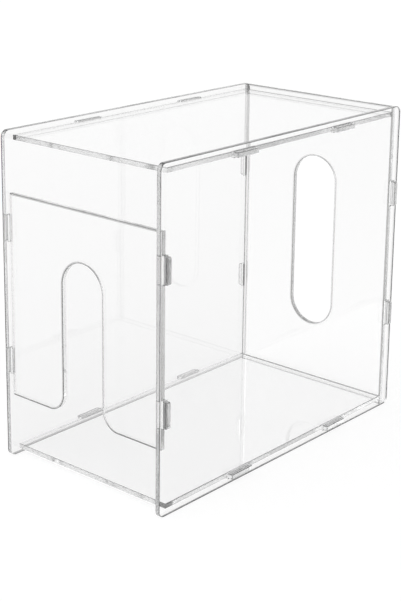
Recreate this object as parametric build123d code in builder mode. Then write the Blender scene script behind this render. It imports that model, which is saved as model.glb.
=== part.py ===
from build123d import *
import os

# Freezer box for flat milk storage bags, made of six flat sheets of clear acrylic. The two side panels
# carry four cross panels, whose tabs pass through slots in the sides.
# Millimetres. The box stands at z = 0 on its side and back panels, with its loading and dispensing
# front towards -Y. The origin is the middle of the footprint.

# Box
width = 150.0                  # across the outer faces of the side panels
depth = 272.0                  # side panels, front edge to rear edge
height = 243.0                 # side panels, lower edge to upper edge
sheet = 3.6                    # thickness of every panel
side_corner_radius = 5.0       # the four corners of a side panel

# Places of the cross panels
top_lip = 4.0                  # upper edge of the sides, above the top panel
floor_lip = 4.0                # lower edge of the sides, below the floor panel
front_setback = 8.0            # front edge of the sides to that of the top and floor panels
gate_inset = 3.4               # front edge of the sides to the gate's front face
back_inset = 4.6               # rear edge of the sides to the back panel's rear face

# Front gate
loading_gap = 37.2             # underside of the top panel to the gate's upper edge
dispensing_gap = 39.9          # upper face of the floor panel to the gate's lower edge
arch_width = 38.0              # finger notch between the gate's two legs
arch_bridge = 37.0             # sheet left above the crown of the arch
leg_radius = 14.0              # lower inner corner of each leg

# Window of the back panel
window_width = 40.0
window_below = 52.5            # sheet left under the window
window_above = 49.5            # sheet left over it

# Tabs and their slots
level_tab_length = 23.0        # tabs of the top and floor panels
upright_tab_length = 19.0      # tabs of the gate and the back panel
tab_reach = 3.5                # tab end beyond the outer face of a side panel
tab_corner_radius = 1.6
slot_end_clearance = 0.3       # between a slot and each end of its tab
slot_face_clearance = 0.15     # between a slot and each face of its tab
level_tab_front = 75.4         # front edge of the top and floor panels to the first tab's middle
level_tab_rear = 67.6          # their rear edge to the second tab's middle
gate_tab_end = 25.8            # lower or upper edge of the gate to its nearest tab's middle
back_tab_low = 78.0            # lower edge of the back panel to its lower tab's middle
back_tab_high = 68.0           # upper edge of the back panel to its upper tab's middle

# Faces that the pieces share
inner_width = width - 2 * sheet
tab_span = width + 2 * tab_reach
floor_z = floor_lip
top_z = height - top_lip - sheet
gate_rear_y = -depth / 2 + gate_inset + sheet
back_front_y = depth / 2 - back_inset - sheet
level_front_y = -depth / 2 + front_setback
level_depth = back_front_y - level_front_y
gate_bottom_z = floor_z + sheet + dispensing_gap
gate_top_z = top_z - loading_gap
gate_height = gate_top_z - gate_bottom_z

# Middles of the tabs along the panel that carries them
level_tabs = [level_front_y + level_tab_front, back_front_y - level_tab_rear]
gate_tabs = [gate_bottom_z + gate_tab_end, gate_top_z - gate_tab_end]
back_tabs = [back_tab_low, height - back_tab_high]

level_slot_length = level_tab_length + 2 * slot_end_clearance
upright_slot_length = upright_tab_length + 2 * slot_end_clearance
slot_gap = sheet + 2 * slot_face_clearance

os.makedirs("parts", exist_ok=True)


# Side panel on +X, with a slot for each tab of the level panels, the gate and the back panel
with BuildPart() as right_side_panel:
    with BuildSketch(Plane.YZ.offset(inner_width / 2)) as side_outline:
        with Locations((0, height / 2)):
            Rectangle(depth, height)
        fillet(side_outline.vertices(), side_corner_radius)
        for z in (floor_z, top_z):
            with Locations([(y, z + sheet / 2) for y in level_tabs]):
                Rectangle(level_slot_length, slot_gap, mode=Mode.SUBTRACT)
        with Locations([(gate_rear_y - sheet / 2, z) for z in gate_tabs]):
            Rectangle(slot_gap, upright_slot_length, mode=Mode.SUBTRACT)
        with Locations([(back_front_y + sheet / 2, z) for z in back_tabs]):
            Rectangle(slot_gap, upright_slot_length, mode=Mode.SUBTRACT)
    extrude(amount=sheet)
right_side_panel.part.label = "right_side_panel"
export_step(right_side_panel.part, "parts/right_side_panel.step")


# Side panel on -X, its mirror image
with BuildPart() as left_side_panel:
    mirror(right_side_panel.part, about=Plane.YZ)
left_side_panel.part.label = "left_side_panel"
export_step(left_side_panel.part, "parts/left_side_panel.step")


# Outline of the floor and top panels: a plain sheet, crossed by bars whose ends are its tabs
with BuildSketch() as level_outline:
    with Locations((0, level_front_y + level_depth / 2)):
        Rectangle(inner_width, level_depth)
    with Locations([(0, y) for y in level_tabs]):
        RectangleRounded(tab_span, level_tab_length, tab_corner_radius)


# Floor, which the lowest bag slides out on
with BuildPart() as floor_panel:
    with BuildSketch(Plane.XY.offset(floor_z)):
        add(level_outline.sketch)
    extrude(amount=sheet)
floor_panel.part.label = "floor_panel"
export_step(floor_panel.part, "parts/floor_panel.step")


# Top, a little below the upper edges of the sides
with BuildPart() as top_panel:
    with BuildSketch(Plane.XY.offset(top_z)):
        add(level_outline.sketch)
    extrude(amount=sheet)
top_panel.part.label = "top_panel"
export_step(top_panel.part, "parts/top_panel.step")


# Gate that holds the stack back: bags go in over it and come out under it
with BuildPart() as gate_panel:
    with BuildSketch(Plane.XZ.offset(-gate_rear_y)) as gate_outline:
        with Locations((0, gate_bottom_z + gate_height / 2)):
            Rectangle(inner_width, gate_height)
        with Locations([(0, z) for z in gate_tabs]):
            RectangleRounded(tab_span, upright_tab_length, tab_corner_radius)
        # The notch: straight sides up to the arch's centre, then half a circle
        arch_centre_z = gate_top_z - arch_bridge - arch_width / 2
        with Locations((0, arch_centre_z)):
            Circle(arch_width / 2, mode=Mode.SUBTRACT)
            Rectangle(arch_width, arch_centre_z - gate_bottom_z,
                      align=(Align.CENTER, Align.MAX), mode=Mode.SUBTRACT)
        # The two middle corners of the lowest edge, in the sketch's own X and Y
        leg_corners = gate_outline.vertices().group_by(Axis.Y)[0].sort_by(Axis.X)[1:3]
        fillet(leg_corners, leg_radius)
    extrude(amount=sheet)
gate_panel.part.label = "gate_panel"
export_step(gate_panel.part, "parts/gate_panel.step")


# Back, as tall as the sides, with a long window
with BuildPart() as back_panel:
    with BuildSketch(Plane.XZ.offset(-back_front_y - sheet)):
        with Locations((0, height / 2)):
            Rectangle(inner_width, height)
        with Locations([(0, z) for z in back_tabs]):
            RectangleRounded(tab_span, upright_tab_length, tab_corner_radius)
        window_height = height - window_below - window_above
        with Locations((0, window_below + window_height / 2)):
            SlotOverall(window_height, window_width, rotation=90, mode=Mode.SUBTRACT)
    extrude(amount=sheet)
back_panel.part.label = "back_panel"
export_step(back_panel.part, "parts/back_panel.step")
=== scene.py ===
import bpy
import math
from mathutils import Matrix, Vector


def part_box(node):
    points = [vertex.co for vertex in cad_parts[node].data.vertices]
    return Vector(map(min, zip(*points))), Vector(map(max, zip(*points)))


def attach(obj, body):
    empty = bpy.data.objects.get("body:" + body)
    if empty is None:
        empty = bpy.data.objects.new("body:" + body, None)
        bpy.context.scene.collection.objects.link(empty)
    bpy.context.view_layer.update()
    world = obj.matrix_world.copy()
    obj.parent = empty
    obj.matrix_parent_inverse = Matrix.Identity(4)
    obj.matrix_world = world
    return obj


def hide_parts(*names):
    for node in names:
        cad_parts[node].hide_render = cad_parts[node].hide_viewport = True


# Freezer box for milk bags laid flat: six sheets of clear acrylic, laser cut, with tabs through slots.
# Metres, +Z up, the open front towards -Y.

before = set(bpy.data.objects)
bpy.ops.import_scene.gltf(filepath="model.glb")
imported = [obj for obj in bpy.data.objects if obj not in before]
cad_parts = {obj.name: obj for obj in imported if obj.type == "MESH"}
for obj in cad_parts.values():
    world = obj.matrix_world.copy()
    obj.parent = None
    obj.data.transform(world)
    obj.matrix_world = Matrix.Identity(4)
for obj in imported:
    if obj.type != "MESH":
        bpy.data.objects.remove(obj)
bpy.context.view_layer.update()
scene = bpy.context.scene
print("frame loaded:", ", ".join(sorted(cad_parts)))


# Handles for selecting and shaping

xAxis, yAxis, zAxis = 0, 1, 2
alongAxis = 0.9                    # a unit vector with this much of an axis runs along it
flatFace = 0.999                   # a normal with this much of an axis belongs to a flat face
touching = 0.00001                 # two places this close are the same
cutterReach = 0.002                # how far a cutter stands out of the sheet on each side


def deselectAll():
    if bpy.context.object and bpy.context.object.mode != "OBJECT":
        bpy.ops.object.mode_set(mode="OBJECT")
    bpy.ops.object.select_all(action="DESELECT")


def makeActive(piece):
    deselectAll()
    piece.select_set(True)
    bpy.context.view_layer.objects.active = piece


def pickFaces(piece, wanted):
    # wanted gets a face's middle and normal
    bpy.ops.object.mode_set(mode="EDIT")
    bpy.ops.mesh.select_mode(type="FACE")
    bpy.ops.mesh.select_all(action="DESELECT")
    bpy.ops.object.mode_set(mode="OBJECT")
    for face in piece.data.polygons:
        face.select = wanted(face.center, face.normal)
    bpy.ops.object.mode_set(mode="EDIT")


def pickEdges(piece, wanted):
    # wanted gets an edge's middle and its unit direction
    bpy.ops.object.mode_set(mode="EDIT")
    bpy.ops.mesh.select_mode(type="EDGE")
    bpy.ops.mesh.select_all(action="DESELECT")
    bpy.ops.object.mode_set(mode="OBJECT")
    points = piece.data.vertices
    for edge in piece.data.edges:
        a, b = points[edge.vertices[0]].co, points[edge.vertices[1]].co
        edge.select = wanted((a + b) / 2, (b - a).normalized())
    bpy.ops.object.mode_set(mode="EDIT")


def startBlock(name, low, high):
    deselectAll()
    bpy.ops.mesh.primitive_cube_add(size=1, location=(Vector(low) + Vector(high)) / 2)
    piece = bpy.context.object
    piece.name = piece.data.name = name
    piece.scale = Vector(high) - Vector(low)
    bpy.ops.object.transform_apply(location=True, rotation=True, scale=True)
    return piece


def sliceAt(piece, axis, spots):
    normal = [0, 0, 0]
    normal[axis] = 1
    makeActive(piece)
    bpy.ops.object.mode_set(mode="EDIT")
    for spot in spots:
        bpy.ops.mesh.select_all(action="SELECT")
        bpy.ops.mesh.bisect(plane_co=[spot * n for n in normal], plane_no=normal)
    bpy.ops.object.mode_set(mode="OBJECT")


def roundCorners(piece, wanted, radius, segments):
    makeActive(piece)
    pickEdges(piece, wanted)
    bpy.ops.mesh.bevel(offset=radius, segments=segments, affect="EDGES", profile=0.5)
    bpy.ops.object.mode_set(mode="OBJECT")


def growTabs(piece, along, across, spots, tabs, tip):
    # along: the axis that the tabs stand in a row on; across: the axis through the sheet
    half = tabs["length"] / 2
    sliceAt(piece, along, [spot + end for spot in spots for end in (-half, half)])
    for side in (-1, 1):
        shoulder = max(side * v.co.x for v in piece.data.vertices)
        pickFaces(piece, lambda c, n: n.x * side > alongAxis and any(abs(c[along] - s) < half for s in spots))
        bpy.ops.mesh.extrude_region_move(TRANSFORM_OT_translate={"value": (side * (tip - shoulder), 0, 0)})
        bpy.ops.object.mode_set(mode="OBJECT")
    roundCorners(
        piece, lambda m, d: abs(abs(m.x) - tip) < touching and abs(d[across]) > alongAxis,
        tabs["cornerRadius"], tabs["cornerSegments"])


def cutOut(piece, cutter):
    makeActive(piece)
    cut = piece.modifiers.new("cut", "BOOLEAN")
    cut.operation = "DIFFERENCE"
    cut.solver = "EXACT"
    cut.object = cutter
    bpy.ops.object.modifier_apply(modifier="cut")
    bpy.data.objects.remove(cutter)


def markStrips(piece, through, width):
    # a narrow strip round each flat face, for a painted shade line where the thickness of the sheet shows
    makeActive(piece)
    pickFaces(piece, lambda c, n: abs(n[through]) > flatFace)
    bpy.ops.mesh.inset(thickness=width, depth=0)
    bpy.ops.object.mode_set(mode="OBJECT")
    strips = piece.data.attributes.new("strip", "FLOAT", "FACE")
    for face, strip in zip(piece.data.polygons, strips.data):
        strip.value = 0.0 if face.select or abs(face.normal[through]) < flatFace else 1.0


# Clear acrylic: polished faces, fine rims and cut edges that carry light; the edges look grey and the rims dark
# partly from light bent in the sheet and partly from painted shade in the base colour

acrylic = {
    "ior": 1.49,
    "rimWidth": 0.0004,            # the fine broken edge that the cutter leaves
    "rimSegments": 3,
    "rimAngle": 40,                # degrees: sharper corners are broken
    "smoothAngle": 12,             # degrees: flatter ones are shaded smooth
    "line": 0.0009,                # width of a painted shade line on a face, at a joint or along the outline
    "lineFade": 0.0001,
    "rearFade": 0.001,             # below the height at which a painted shade line along the rear edge starts
    "cutFlatness": (0.05, 0.15),   # share of the sheet's own axis in the normal: a cut edge below, a rim above
    "faceFlatness": (0.97, 0.995), # a rim below, a face above
    "endFade": (0.0009, 0.0006),   # from a side's inner face to where the painted shade of an end begins and is full
    "slotMargin": 0.0015,          # cut edges further than this inside a side's outline are slot walls
    "cornerFade": 1.5,             # a painted dark corner has faded at this many times its reach
    "patchSize": 0.080,            # how far apart the painted darker and lighter stretches (shade and highlight) of an edge are
    "patchRange": (0.38, 0.62),    # of the noise: darkest below, lightest above
    "patchShift": (0.37, 0.21, 0.53),
    "grooveSize": 0.0009,          # laser grooves across a cut edge
    "grooveLength": 0.05,
    "grooveDepth": 0.00002,
    "grooveDetail": 2,
    "grooveStrength": 0.10,
    "edgeRoughness": 0.12,
    "absorption": (0.50, 0.51, 0.515, 1),
    "absorptionDensity": 0.5,
}

# Each sheet has its own painted shade, as tones from 0, black, to 1, clear. Where a tone is a pair, it is for the low
# and the high side of the sheet.
#   -x to +z  painted shade on cut edges that face that way: darkest and lightest tone of their middle, then that of
#   their rims
#   shade     how far the rims' painted shade reaches over a cut edge, and how strongly
#   ends      the same four as a facing's, painted on the ends that stand against the right side; leftEnds the left
#   face      painted shade of polished faces at the bottom and at the top of the box, not on the low and high side
#   line      painted shade lines: line along the outline of a face; joint where the face meets a side; foot at its lowest edge
#   tab       painted shade of the faces of the tabs outside the sides, and leftTab on the left; tabCut and leftTabCut their cut edges
#   slot      painted shade of the walls of the slots
#   rear      painted shade lines along the rear edge: a pair of tones, the line's width and the height it starts at
#   corners   painted dark corners: left (-1) or right (1), front (-1) or rear (1), reach and tone
#   seed      how many patchShifts the painted darker and lighter stretches are moved by

nodeGrid = {"columns": 12, "stepX": 220, "stepY": 320}


def addNode(tree, kind, **settings):
    # nodes stand in rows, in the order they are made
    row, column = divmod(len(tree.nodes), nodeGrid["columns"])
    node = tree.nodes.new(kind)
    node.location = (column * nodeGrid["stepX"], -row * nodeGrid["stepY"])
    for name, value in settings.items():
        setattr(node, name, value)
    return node


def feed(tree, socket, value):
    # a plain number or another node's output
    if isinstance(value, (int, float)):
        socket.default_value = value
    else:
        tree.links.new(value, socket)


def doMath(tree, operation, a, b=0.0):
    node = addNode(tree, "ShaderNodeMath", operation=operation)
    feed(tree, node.inputs[0], a)
    feed(tree, node.inputs[1], b)
    return node.outputs[0]


def mixTone(tree, share, a, b):
    node = addNode(tree, "ShaderNodeMix")
    feed(tree, node.inputs[0], share)
    feed(tree, node.inputs[2], a)
    feed(tree, node.inputs[3], b)
    return node.outputs[0]


def rise(tree, source, low, high):
    # 0 at low and past it, 1 at high and past it; low may be the larger one
    node = addNode(tree, "ShaderNodeMapRange")
    feed(tree, node.inputs["Value"], source)
    node.inputs["From Min"].default_value = low
    node.inputs["From Max"].default_value = high
    return node.outputs[0]


def without(tree, share):
    return doMath(tree, "SUBTRACT", 1, share)


def splitVector(tree, vector):
    node = addNode(tree, "ShaderNodeSeparateXYZ")
    tree.links.new(vector, node.inputs[0])
    return list(node.outputs)


def paintedShadeByFacing(tree, normal, tones):
    # the four tones of painted shade on a cut edge, each weighed by how much the surface faces each way
    weighed = []
    for sign, factor in (("+", 1), ("-", -1)):
        turned = addNode(tree, "ShaderNodeVectorMath", operation="SCALE")
        turned.inputs["Scale"].default_value = factor
        tree.links.new(normal, turned.inputs[0])
        positive = addNode(tree, "ShaderNodeVectorMath", operation="MAXIMUM")
        positive.inputs[1].default_value = (0, 0, 0)
        tree.links.new(turned.outputs[0], positive.inputs[0])
        square = addNode(tree, "ShaderNodeVectorMath", operation="MULTIPLY")
        tree.links.new(positive.outputs[0], square.inputs[0])
        tree.links.new(positive.outputs[0], square.inputs[1])
        ways = [tones.get(sign + letter, (0, 0, 0, 0)) for letter in "xyz"]
        for numbers in zip(*ways):
            dot = addNode(tree, "ShaderNodeVectorMath", operation="DOT_PRODUCT")
            tree.links.new(square.outputs[0], dot.inputs[0])
            dot.inputs[1].default_value = numbers
            weighed.append(dot.outputs["Value"])
    return [doMath(tree, "ADD", *pair) for pair in zip(weighed[:4], weighed[4:])]


def paintedEdgeStretches(tree, coords, seed):
    # painted shade and highlight: stretches of a cut edge that are made darker or lighter
    shift = addNode(tree, "ShaderNodeMapping")
    shift.inputs["Location"].default_value = [seed * step for step in acrylic["patchShift"]]
    tree.links.new(coords.outputs["Object"], shift.inputs["Vector"])
    noise = addNode(tree, "ShaderNodeTexNoise")
    noise.inputs["Scale"].default_value = 1 / acrylic["patchSize"]
    noise.inputs["Detail"].default_value = 0
    tree.links.new(shift.outputs[0], noise.inputs["Vector"])
    return rise(tree, noise.outputs["Fac"], *acrylic["patchRange"])


def edgeGrooves(tree, coords, through, onCut):
    # fine grooves across the cut edges, as a bump
    scale = [1 / acrylic["grooveSize"]] * 3
    scale[through] = 1 / acrylic["grooveLength"]
    stretch = addNode(tree, "ShaderNodeMapping")
    stretch.inputs["Scale"].default_value = scale
    tree.links.new(coords.outputs["Object"], stretch.inputs["Vector"])
    noise = addNode(tree, "ShaderNodeTexNoise")
    noise.inputs["Scale"].default_value = 1
    noise.inputs["Detail"].default_value = acrylic["grooveDetail"]
    tree.links.new(stretch.outputs[0], noise.inputs["Vector"])
    bump = addNode(tree, "ShaderNodeBump")
    bump.inputs["Strength"].default_value = acrylic["grooveStrength"]
    bump.inputs["Distance"].default_value = acrylic["grooveDepth"]
    tree.links.new(doMath(tree, "MULTIPLY", noise.outputs["Fac"], onCut), bump.inputs["Height"])
    return bump.outputs[0]


def cover(tree, made, kind, share, tone):
    # made: the painted shade so far of cut edges, rims and faces
    made[kind] = mixTone(tree, share, made[kind], tone)


def toneEnds(tree, at, tones, made):
    # painted shade where a cross panel stands against a side and at the end of a tab outside; its part in a slot is
    # kept clear
    reach = doMath(tree, "ABSOLUTE", at["place"][xAxis])
    rightHalf = doMath(tree, "GREATER_THAN", at["place"][xAxis], 0)
    ends = [mixTone(tree, rightHalf, *pair) for pair in zip(tones["leftEnds"], tones["ends"])]
    endRim = mixTone(tree, at["highSide"], *ends[2:])
    endTone = mixTone(tree, at["shade"], mixTone(tree, at["patch"], *ends[:2]), endRim)
    atEnd = rise(tree, reach, *[innerX - away for away in acrylic["endFade"]])
    cover(tree, made, "cut", atEnd, endTone)
    cover(tree, made, "rim", atEnd, endRim)

    start = innerX - acrylic["line"] - acrylic["rimWidth"]
    joint = rise(tree, reach, start - acrylic["lineFade"], start)
    cover(tree, made, "face", joint, mixTone(tree, at["highSide"], *tones["joint"]))
    inSlot = rise(tree, reach, innerX, innerX + acrylic["lineFade"])
    cover(tree, made, "face", inSlot, at["clear"])

    outside = rise(tree, reach, sideHigh.x - acrylic["lineFade"], sideHigh.x)
    leftTab, leftTabCut = tones.get("leftTab", tones["tab"]), tones.get("leftTabCut", tones["tabCut"])
    tab = [mixTone(tree, rightHalf, *pair) for pair in zip(leftTab, tones["tab"])]
    cover(tree, made, "face", outside, mixTone(tree, at["highSide"], *tab))
    tabCut = mixTone(tree, rightHalf, leftTabCut, tones["tabCut"])
    cover(tree, made, "cut", outside, mixTone(tree, at["shade"], tabCut, endRim))


def toneSlots(tree, at, tones, made):
    # painted shade on the walls of a side's slots, all well inside its outline
    fromMiddle = doMath(tree, "ABSOLUTE", at["place"][yAxis])
    insideY = doMath(tree, "LESS_THAN", fromMiddle, sideHigh.y - acrylic["slotMargin"])
    waist, halfHeight = (sideLow.z + sideHigh.z) / 2, (sideHigh.z - sideLow.z) / 2
    fromWaist = doMath(tree, "ABSOLUTE", doMath(tree, "SUBTRACT", at["place"][zAxis], waist))
    insideZ = doMath(tree, "LESS_THAN", fromWaist, halfHeight - acrylic["slotMargin"])
    cover(tree, made, "cut", doMath(tree, "MULTIPLY", insideY, insideZ), tones["slot"])


def paintedRearLine(tree, at, rearY, line, made):
    # a painted shade line along the rear edge, from a height up
    lowTone, highTone, width, bottom = line
    start = rearY - width
    rear = rise(tree, at["place"][yAxis], start - acrylic["lineFade"], start)
    above = rise(tree, at["place"][zAxis], bottom - acrylic["rearFade"], bottom)
    cover(tree, made, "face", doMath(tree, "MULTIPLY", rear, above), mixTone(tree, at["highSide"], lowTone, highTone))


def paintedDarkCorner(tree, coords, spot, reach, tone, made):
    # a corner of the sheet whose cut edges get painted shade
    away = addNode(tree, "ShaderNodeVectorMath", operation="DISTANCE")
    tree.links.new(coords.outputs["Object"], away.inputs[0])
    away.inputs[1].default_value = spot
    near = rise(tree, away.outputs["Value"], reach * acrylic["cornerFade"], reach)
    cover(tree, made, "cut", near, tone)
    cover(tree, made, "rim", near, tone)


def clearAcrylic(name, node, through, tones):
    # through: the axis through the sheet
    look = bpy.data.materials.new(name)
    look.use_nodes = True
    tree = look.node_tree
    tree.nodes.clear()
    low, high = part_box(node)
    middle, half = (low[through] + high[through]) / 2, (high[through] - low[through]) / 2
    coords = addNode(tree, "ShaderNodeTexCoord")
    place = splitVector(tree, coords.outputs["Object"])
    facing = splitVector(tree, coords.outputs["Normal"])
    flatness = doMath(tree, "ABSOLUTE", facing[through])
    onCut = without(tree, rise(tree, flatness, *acrylic["cutFlatness"]))
    offFace = without(tree, rise(tree, flatness, *acrylic["faceFlatness"]))
    patch = paintedEdgeStretches(tree, coords, tones["seed"])
    highSide = doMath(tree, "GREATER_THAN", place[through], middle)

    # the painted shade of a cut edge and of its rims, by the way they face; on a rim, part of the normal is the
    # sheet's own axis, which has no tone, so the rest is brought back to a full share
    dark, light, lowRim, highRim = paintedShadeByFacing(tree, coords.outputs["Normal"], tones)
    whole = 1.001                  # a little more than 1, so that nothing is divided by 0 on a face
    share = doMath(tree, "SUBTRACT", whole, doMath(tree, "POWER", flatness, 2))
    rimTone = doMath(tree, "DIVIDE", mixTone(tree, highSide, lowRim, highRim), share)
    fromMiddle = doMath(tree, "ABSOLUTE", doMath(tree, "SUBTRACT", place[through], middle))
    shadeReach, shadeStrength = tones["shade"]
    nearRim = rise(tree, fromMiddle, half - shadeReach, half - shadeReach + acrylic["rimWidth"])
    shade = doMath(tree, "MULTIPLY", nearRim, shadeStrength)
    cutTone = mixTone(tree, shade, mixTone(tree, patch, dark, light), rimTone)
    # painted shade on the polished faces, from their tone at the bottom of the box to that at the top
    clear = mixTone(tree, rise(tree, place[zAxis], 0, sideHigh.z), *tones["face"])

    at = {"place": place, "highSide": highSide, "patch": patch, "shade": shade, "clear": clear}
    made = {"cut": cutTone, "rim": rimTone, "face": clear}
    # painted shade line round the outline of each face
    if "line" in tones:
        strip = addNode(tree, "ShaderNodeAttribute", attribute_name="strip")
        cover(tree, made, "face", strip.outputs["Fac"], mixTone(tree, highSide, *tones["line"]))
    # painted shade along the lowest edge of the sheet
    if "foot" in tones:
        top = low.z + acrylic["line"]
        foot = rise(tree, place[zAxis], top + acrylic["rimWidth"], top)
        cover(tree, made, "face", foot, mixTone(tree, highSide, *tones["foot"]))
    if "ends" in tones:
        toneEnds(tree, at, tones, made)
    if "slot" in tones:
        toneSlots(tree, at, tones, made)
    for line in tones.get("rear", []):
        paintedRearLine(tree, at, high.y, line, made)
    for side, end, reach, tone in tones.get("corners", []):
        corner = (side * shoulderX, low.y if end < 0 else high.y, middle)
        paintedDarkCorner(tree, coords, corner, reach, tone, made)
    rimmed = mixTone(tree, offFace, made["face"], made["rim"])

    glass = addNode(tree, "ShaderNodeBsdfPrincipled")
    glass.inputs["IOR"].default_value = acrylic["ior"]
    glass.inputs["Transmission Weight"].default_value = 1
    # the painted shade goes into the base colour of the glass
    feed(tree, glass.inputs["Base Color"], mixTone(tree, onCut, rimmed, made["cut"]))
    feed(tree, glass.inputs["Roughness"], doMath(tree, "MULTIPLY", onCut, acrylic["edgeRoughness"]))
    feed(tree, glass.inputs["Normal"], edgeGrooves(tree, coords, through, onCut))
    depth = addNode(tree, "ShaderNodeVolumeAbsorption")
    depth.inputs["Color"].default_value = acrylic["absorption"]
    depth.inputs["Density"].default_value = acrylic["absorptionDensity"]
    out = addNode(tree, "ShaderNodeOutputMaterial")
    tree.links.new(glass.outputs[0], out.inputs["Surface"])
    tree.links.new(depth.outputs[0], out.inputs["Volume"])
    return look


def easeEdges(piece):
    # the flat faces keep their flat shading
    makeActive(piece)
    ease = piece.modifiers.new("ease", "BEVEL")
    ease.width = acrylic["rimWidth"]
    ease.segments = acrylic["rimSegments"]
    ease.limit_method = "ANGLE"
    ease.angle_limit = math.radians(acrylic["rimAngle"])
    ease.use_clamp_overlap = False
    ease.loop_slide = False        # an even width beside the slots too
    bpy.ops.object.modifier_apply(modifier="ease")
    bpy.ops.object.shade_smooth_by_angle(angle=math.radians(acrylic["smoothAngle"]))


def finishSheet(piece, node, through, lookName, tones):
    easeEdges(piece)
    if "line" in tones:
        markStrips(piece, through, acrylic["line"])
    piece.data.materials.clear()
    piece.data.materials.append(clearAcrylic(lookName, node, through, tones))
    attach(piece, "root")
    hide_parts(node)
    print("made", piece.name, "with", len(piece.data.polygons), "faces")


# Places that the sheets share

airGap = 0.00008                   # where one sheet stands against another
sideLow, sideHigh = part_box("right_side_panel")
innerX = sideLow.x                 # inner face of the right side
shoulderX = innerX - airGap

# Tabs: from the ends of a sheet's edge to the middles of its tabs, and their own length along that edge
levelTabs = {"front": 0.0754, "rear": 0.0676, "length": 0.0230, "cornerRadius": 0.0016, "cornerSegments": 6}
gateTabs = {"end": 0.0258, "length": 0.0190, "cornerRadius": 0.0016, "cornerSegments": 6}
backTabs = {"low": 0.0780, "high": 0.0680, "length": 0.0190, "cornerRadius": 0.0016, "cornerSegments": 6}
slots = {"endClearance": 0.0003, "faceClearance": 0.00015}

topLow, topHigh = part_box("top_panel")
floorLow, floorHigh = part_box("floor_panel")
gateLow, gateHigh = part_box("gate_panel")
backLow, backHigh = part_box("back_panel")
levelSpots = (topLow.y + levelTabs["front"], topHigh.y - levelTabs["rear"])
gateSpots = (gateLow.z + gateTabs["end"], gateHigh.z - gateTabs["end"])
backSpots = (backLow.z + backTabs["low"], backHigh.z - backTabs["high"])


# Side panels

sidePanel = {
    "cornerRadius": 0.005,
    "cornerSegments": 14,
    "right": {
        "-y": (0.65, 1.0, 0.35, 0.25), "+y": (0.7, 0.9, 0.4, 0.05),
        "-z": (0.2, 0.5, 0.02, 0.02), "+z": (0.4, 0.8, 0.25, 0.15),
        "shade": (0.0010, 0.8), "face": (0.995, 0.995), "foot": (0.9, 0.06), "slot": 0.98,
        "rear": [(0.9, 0.03, 0.0017, 0)], "seed": 1},
    "left": {
        "-y": (1.0, 1.0, 0.02, 1.0), "+y": (0.9, 1.0, 0.5, 1.0),
        "-z": (0.6, 0.9, 0.15, 0.25), "+z": (0.6, 0.9, 0.25, 0.4),
        "shade": (0.0014, 1.0), "face": (0.905, 0.945), "foot": (0.3, 0.95), "slot": 0.98,
        "rear": [(0.8, 1.0, 0.0012, 0), (0.12, 0.15, 0.0034, 0.184)], "seed": 2},
}


def makeSide(name):
    low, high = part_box(name)
    piece = startBlock(name + "_sheet", low, high)
    roundCorners(piece, lambda m, d: abs(d.x) > alongAxis, sidePanel["cornerRadius"], sidePanel["cornerSegments"])
    wide, close = slots["endClearance"], slots["faceClearance"]
    holes = []
    for y in levelSpots:
        for lowZ, highZ in ((topLow.z, topHigh.z), (floorLow.z, floorHigh.z)):
            half = levelTabs["length"] / 2 + wide
            holes.append(((y - half, lowZ - close), (y + half, highZ + close)))
    for tabs, spots, sheetLow, sheetHigh in (
            (gateTabs, gateSpots, gateLow, gateHigh), (backTabs, backSpots, backLow, backHigh)):
        for z in spots:
            half = tabs["length"] / 2 + wide
            holes.append(((sheetLow.y - close, z - half), (sheetHigh.y + close, z + half)))
    for near, far in holes:
        cutOut(piece, startBlock("slot_cutter", (low.x - cutterReach, *near), (high.x + cutterReach, *far)))
    return piece


rightSide = makeSide("right_side_panel")
leftSide = makeSide("left_side_panel")
finishSheet(rightSide, "right_side_panel", xAxis, "side acrylic right", sidePanel["right"])
finishSheet(leftSide, "left_side_panel", xAxis, "side acrylic left", sidePanel["left"])


# Top and floor panels

levelPanel = {
    "top": {
        "-y": (1.0, 1.0, 0.70, 0.50), "+y": (1.0, 1.0, 1.0, 1.0), "shade": (0.0007, 0.5),
        "ends": (0.35, 0.75, 0.8, 0.15), "leftEnds": (1.0, 1.0, 1.0, 0.8),
        "face": (0.98, 0.98), "line": (0.97, 0.97), "joint": (0.6, 0.5), "tab": (0.9, 1.0), "tabCut": 0.50,
        "rear": [(1.0, 0.05, 0.0026, 0)], "corners": [(-1, -1, 0.003, 0.05), (1, 1, 0.003, 0.05)], "seed": 3},
    "floor": {
        "-y": (1.0, 1.0, 1.0, 0.80), "+y": (1.0, 1.0, 1.0, 1.0), "shade": (0.0007, 0.5),
        "ends": (0.45, 0.95, 0.05, 0.10), "leftEnds": (1.0, 1.0, 1.0, 0.5),
        "face": (0.98, 0.98), "line": (0.97, 0.97), "joint": (0.9, 0.9), "tab": (0.45, 0.98), "tabCut": 1.0,
        "rear": [(1.0, 0.05, 0.0026, 0)], "corners": [(1, -1, 0.006, 0.03)], "seed": 4},
}


def makeLevel(name):
    low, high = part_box(name)
    piece = startBlock(name + "_sheet", (-shoulderX, low.y, low.z), (shoulderX, high.y - airGap, high.z))
    growTabs(piece, yAxis, zAxis, levelSpots, levelTabs, high.x)
    return piece


topPanel = makeLevel("top_panel")
floorPanel = makeLevel("floor_panel")
finishSheet(topPanel, "top_panel", zAxis, "top acrylic", levelPanel["top"])
finishSheet(floorPanel, "floor_panel", zAxis, "floor acrylic", levelPanel["floor"])


# Gate with its finger notch

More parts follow.
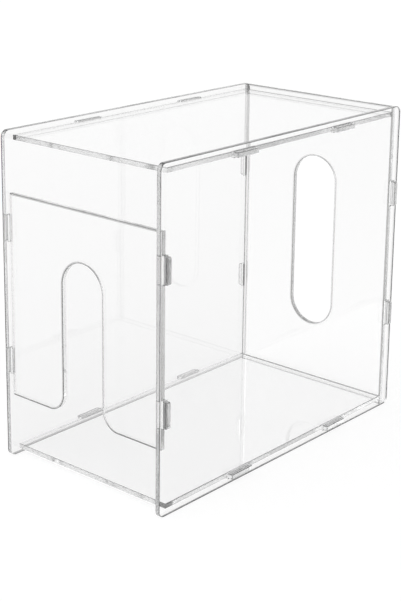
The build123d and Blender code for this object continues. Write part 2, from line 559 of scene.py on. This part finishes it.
gate = {
    "notchWidth": 0.0380,
    "notchBelow": 0.0300,          # how far the notch's cutter starts under the gate
    "bridge": 0.0370,              # sheet left over the notch
    "legRadius": 0.0140,           # lower inner corner of each leg
    "legSegments": 20,
    "archPoints": 96,
    "cutterSlack": 0.0001,         # the cutter's flat sides stand less than this inside its radius
    "tones": {
        "-x": (1.0, 1.0, 0.05, 1.0), "+x": (1.0, 1.0, 0.05, 1.0),
        "-z": (0.3, 0.6, 0.05, 0.9), "+z": (0.8, 1.0, 0.05, 1.0), "shade": (0.0007, 0.5),
        "ends": (0.30, 0.45, 0.25, 0.4), "leftEnds": (0.75, 0.95, 0.5, 0.7),
        "face": (0.995, 0.995), "line": (0.40, 0.98), "joint": (0.75, 0.9), "foot": (0.10, 0.9),
        "tab": (0.3, 0.3), "tabCut": 0.35, "leftTab": (0.6, 0.6), "leftTabCut": 0.7, "seed": 5},
}

gatePanel = startBlock("gate_panel_sheet", (-shoulderX, gateLow.y, gateLow.z), (shoulderX, gateHigh.y, gateHigh.z))
growTabs(gatePanel, zAxis, yAxis, gateSpots, gateTabs, gateHigh.x)


def roundEndedCutter(width, low, high, nearY, farY, points):
    # a round bar whose upper half is drawn up, so that it has straight sides and two round ends
    deselectAll()
    middle = Vector((0, (nearY + farY) / 2, low + width / 2))
    bpy.ops.mesh.primitive_cylinder_add(
        vertices=points, radius=width / 2, depth=farY - nearY + 2 * cutterReach, location=middle,
        rotation=(math.radians(90), 0, 0))
    cutter = bpy.context.object
    bpy.ops.object.transform_apply(location=True, rotation=True, scale=True)
    # half a step of turn, so that no point lies on the line between the halves
    bpy.ops.object.mode_set(mode="EDIT")
    bpy.ops.mesh.select_all(action="SELECT")
    bpy.ops.transform.rotate(value=math.pi / points, orient_axis="Y", center_override=middle)
    bpy.ops.mesh.select_mode(type="VERT")
    bpy.ops.mesh.select_all(action="DESELECT")
    bpy.ops.object.mode_set(mode="OBJECT")
    for point in cutter.data.vertices:
        point.select = point.co.z > middle.z
    bpy.ops.object.mode_set(mode="EDIT")
    bpy.ops.transform.translate(value=(0, 0, high - low - width))
    bpy.ops.object.mode_set(mode="OBJECT")
    return cutter


def isLegCorner(middle, direction):
    beside = abs(abs(middle.x) - gate["notchWidth"] / 2) < gate["cutterSlack"]
    return beside and abs(direction.y) > alongAxis and abs(middle.z - gateLow.z) < touching


cutOut(gatePanel, roundEndedCutter(
    gate["notchWidth"], gateLow.z - gate["notchBelow"], gateHigh.z - gate["bridge"], gateLow.y, gateHigh.y,
    gate["archPoints"]))
roundCorners(gatePanel, isLegCorner, gate["legRadius"], gate["legSegments"])
finishSheet(gatePanel, "gate_panel", yAxis, "gate acrylic", gate["tones"])


# Back with its long window

back = {
    "windowWidth": 0.0400,
    "below": 0.0525,               # sheet left under the window
    "above": 0.0495,               # sheet left over it
    "windowPoints": 96,
    "tones": {
        "-x": (0.9, 1.0, 0.10, 0.9), "+x": (0.35, 0.55, 0.05, 0.3),
        "-z": (0.5, 0.8, 0.05, 0.7), "+z": (0.5, 0.8, 0.05, 0.5), "shade": (0.0008, 0.7),
        "ends": (0.9, 1.0, 0.2, 0.9), "leftEnds": (0.85, 1.0, 0.15, 0.9),
        "face": (0.97, 0.935), "line": (0.60, 0.95), "joint": (0.12, 0.9),
        "tab": (0.9, 0.8), "tabCut": 0.7, "seed": 6},
}

backPanel = startBlock("back_panel_sheet", (-shoulderX, backLow.y, backLow.z), (shoulderX, backHigh.y, backHigh.z))
growTabs(backPanel, zAxis, yAxis, backSpots, backTabs, backHigh.x)
cutOut(backPanel, roundEndedCutter(
    back["windowWidth"], backLow.z + back["below"], backHigh.z - back["above"], backLow.y, backHigh.y,
    back["windowPoints"]))
finishSheet(backPanel, "back_panel", yAxis, "back acrylic", back["tones"])


# Studio: white floor and air, soft lamps

studio = {
    "floorSize": 400,
    "floorDrop": 0.0003,           # below the box, so that the two don't touch
    "floorColor": (0.15, 0.15, 0.15, 1),
    "floorGlow": 0.89,             # what the camera and the glass see on top of the lit floor
    "airLight": 0.55,
    "white": (1, 1, 1, 1),
    "overhead": (0.45, 0.45, 0.46, 1),
    "whiteBelow": 0.25,            # height of the direction up to which the glass sees white
    "greyAbove": 0.80,
}


def makeFloor():
    deselectAll()
    bpy.ops.mesh.primitive_plane_add(size=studio["floorSize"], location=(0, 0, -studio["floorDrop"]))
    ground = bpy.context.object
    ground.name = "studio_floor"
    look = bpy.data.materials.new("white floor")
    look.use_nodes = True
    tree = look.node_tree
    shade = tree.nodes["Principled BSDF"]
    shade.inputs["Base Color"].default_value = studio["floorColor"]
    shade.inputs["Roughness"].default_value = 1
    shade.inputs["Specular IOR Level"].default_value = 0
    shade.inputs["Emission Color"].default_value = studio["white"]
    path = addNode(tree, "ShaderNodeLightPath")
    straight = doMath(tree, "MAXIMUM", path.outputs["Is Camera Ray"], path.outputs["Is Glossy Ray"])
    seen = doMath(tree, "MAXIMUM", straight, path.outputs["Is Transmission Ray"])
    feed(tree, shade.inputs["Emission Strength"], doMath(tree, "MULTIPLY", seen, studio["floorGlow"]))
    ground.data.materials.append(look)


def mixShaders(tree, share, a, b):
    node = addNode(tree, "ShaderNodeMixShader")
    for socket, source in zip(node.inputs, (share, a.outputs[0], b.outputs[0])):
        tree.links.new(source, socket)
    return node


def makeAir():
    air = bpy.data.worlds.new("studio air")
    scene.world = air
    air.use_nodes = True
    tree = air.node_tree
    tree.nodes.clear()
    coords = addNode(tree, "ShaderNodeTexCoord")
    direction = splitVector(tree, coords.outputs["Generated"])
    # white near the horizon and below, greyer overhead
    ramp = addNode(tree, "ShaderNodeValToRGB")
    start, end = ramp.color_ramp.elements
    start.position, start.color = studio["whiteBelow"], studio["white"]
    end.position, end.color = studio["greyAbove"], studio["overhead"]
    feed(tree, ramp.inputs["Fac"], direction[zAxis])
    path = addNode(tree, "ShaderNodeLightPath")
    lighting = addNode(tree, "ShaderNodeBackground")
    lighting.inputs["Strength"].default_value = studio["airLight"]
    around = addNode(tree, "ShaderNodeBackground")
    feed(tree, around.inputs["Color"], ramp.outputs[0])
    behind = addNode(tree, "ShaderNodeBackground")
    behind.inputs["Color"].default_value = studio["white"]
    glassy = doMath(tree, "MAXIMUM", path.outputs["Is Glossy Ray"], path.outputs["Is Transmission Ray"])
    unseen = mixShaders(tree, glassy, lighting, around)
    whole = mixShaders(tree, path.outputs["Is Camera Ray"], unseen, behind)
    out = addNode(tree, "ShaderNodeOutputWorld")
    tree.links.new(whole.outputs[0], out.inputs["Surface"])


# spread is in degrees
lamps = [
    {"name": "key", "from": (-0.9, -1.1, 1.9), "spread": 70, "strength": 1.15},
    {"name": "fill", "from": (1.6, -0.5, 1.6), "spread": 90, "strength": 0.75},
]


def makeLamps():
    for lamp in lamps:
        data = bpy.data.lights.new(lamp["name"], "SUN")
        data.angle = math.radians(lamp["spread"])
        data.energy = lamp["strength"]
        light = bpy.data.objects.new(lamp["name"], data)
        scene.collection.objects.link(light)
        light.location = lamp["from"]
        light.rotation_euler = (-light.location).to_track_quat("-Z", "Y").to_euler()


makeFloor()
makeAir()
makeLamps()
print("studio ready")


# Camera at the photograph's viewing angle

camera = {
    "place": (0.65306, -0.77144, 0.44356),
    "turn": (75.6063, -0.6771, 40.8081),       # degrees
    "sensor": 36,                              # millimetres, as is the lens
    "lens": 84.73,
    "shiftY": -0.175,
    "nearest": 0.02,
    "farthest": 900,
}
lens = bpy.data.cameras.new("camera")
lens.sensor_width = camera["sensor"]
lens.lens = camera["lens"]
lens.shift_y = camera["shiftY"]
lens.clip_start = camera["nearest"]
lens.clip_end = camera["farthest"]
viewer = bpy.data.objects.new("camera", lens)
scene.collection.objects.link(viewer)
viewer.location = camera["place"]
viewer.rotation_euler = [math.radians(angle) for angle in camera["turn"]]
scene.camera = viewer
print("camera ready")

# light runs a long way inside a sheet before it leaves at an edge
bounces = {"inGlass": 96, "transparent": 32}
scene.cycles.max_bounces = bounces["inGlass"]
scene.cycles.transmission_bounces = bounces["inGlass"]
scene.cycles.glossy_bounces = bounces["inGlass"]
scene.cycles.transparent_max_bounces = bounces["transparent"]

scene.view_settings.view_transform = "Standard"
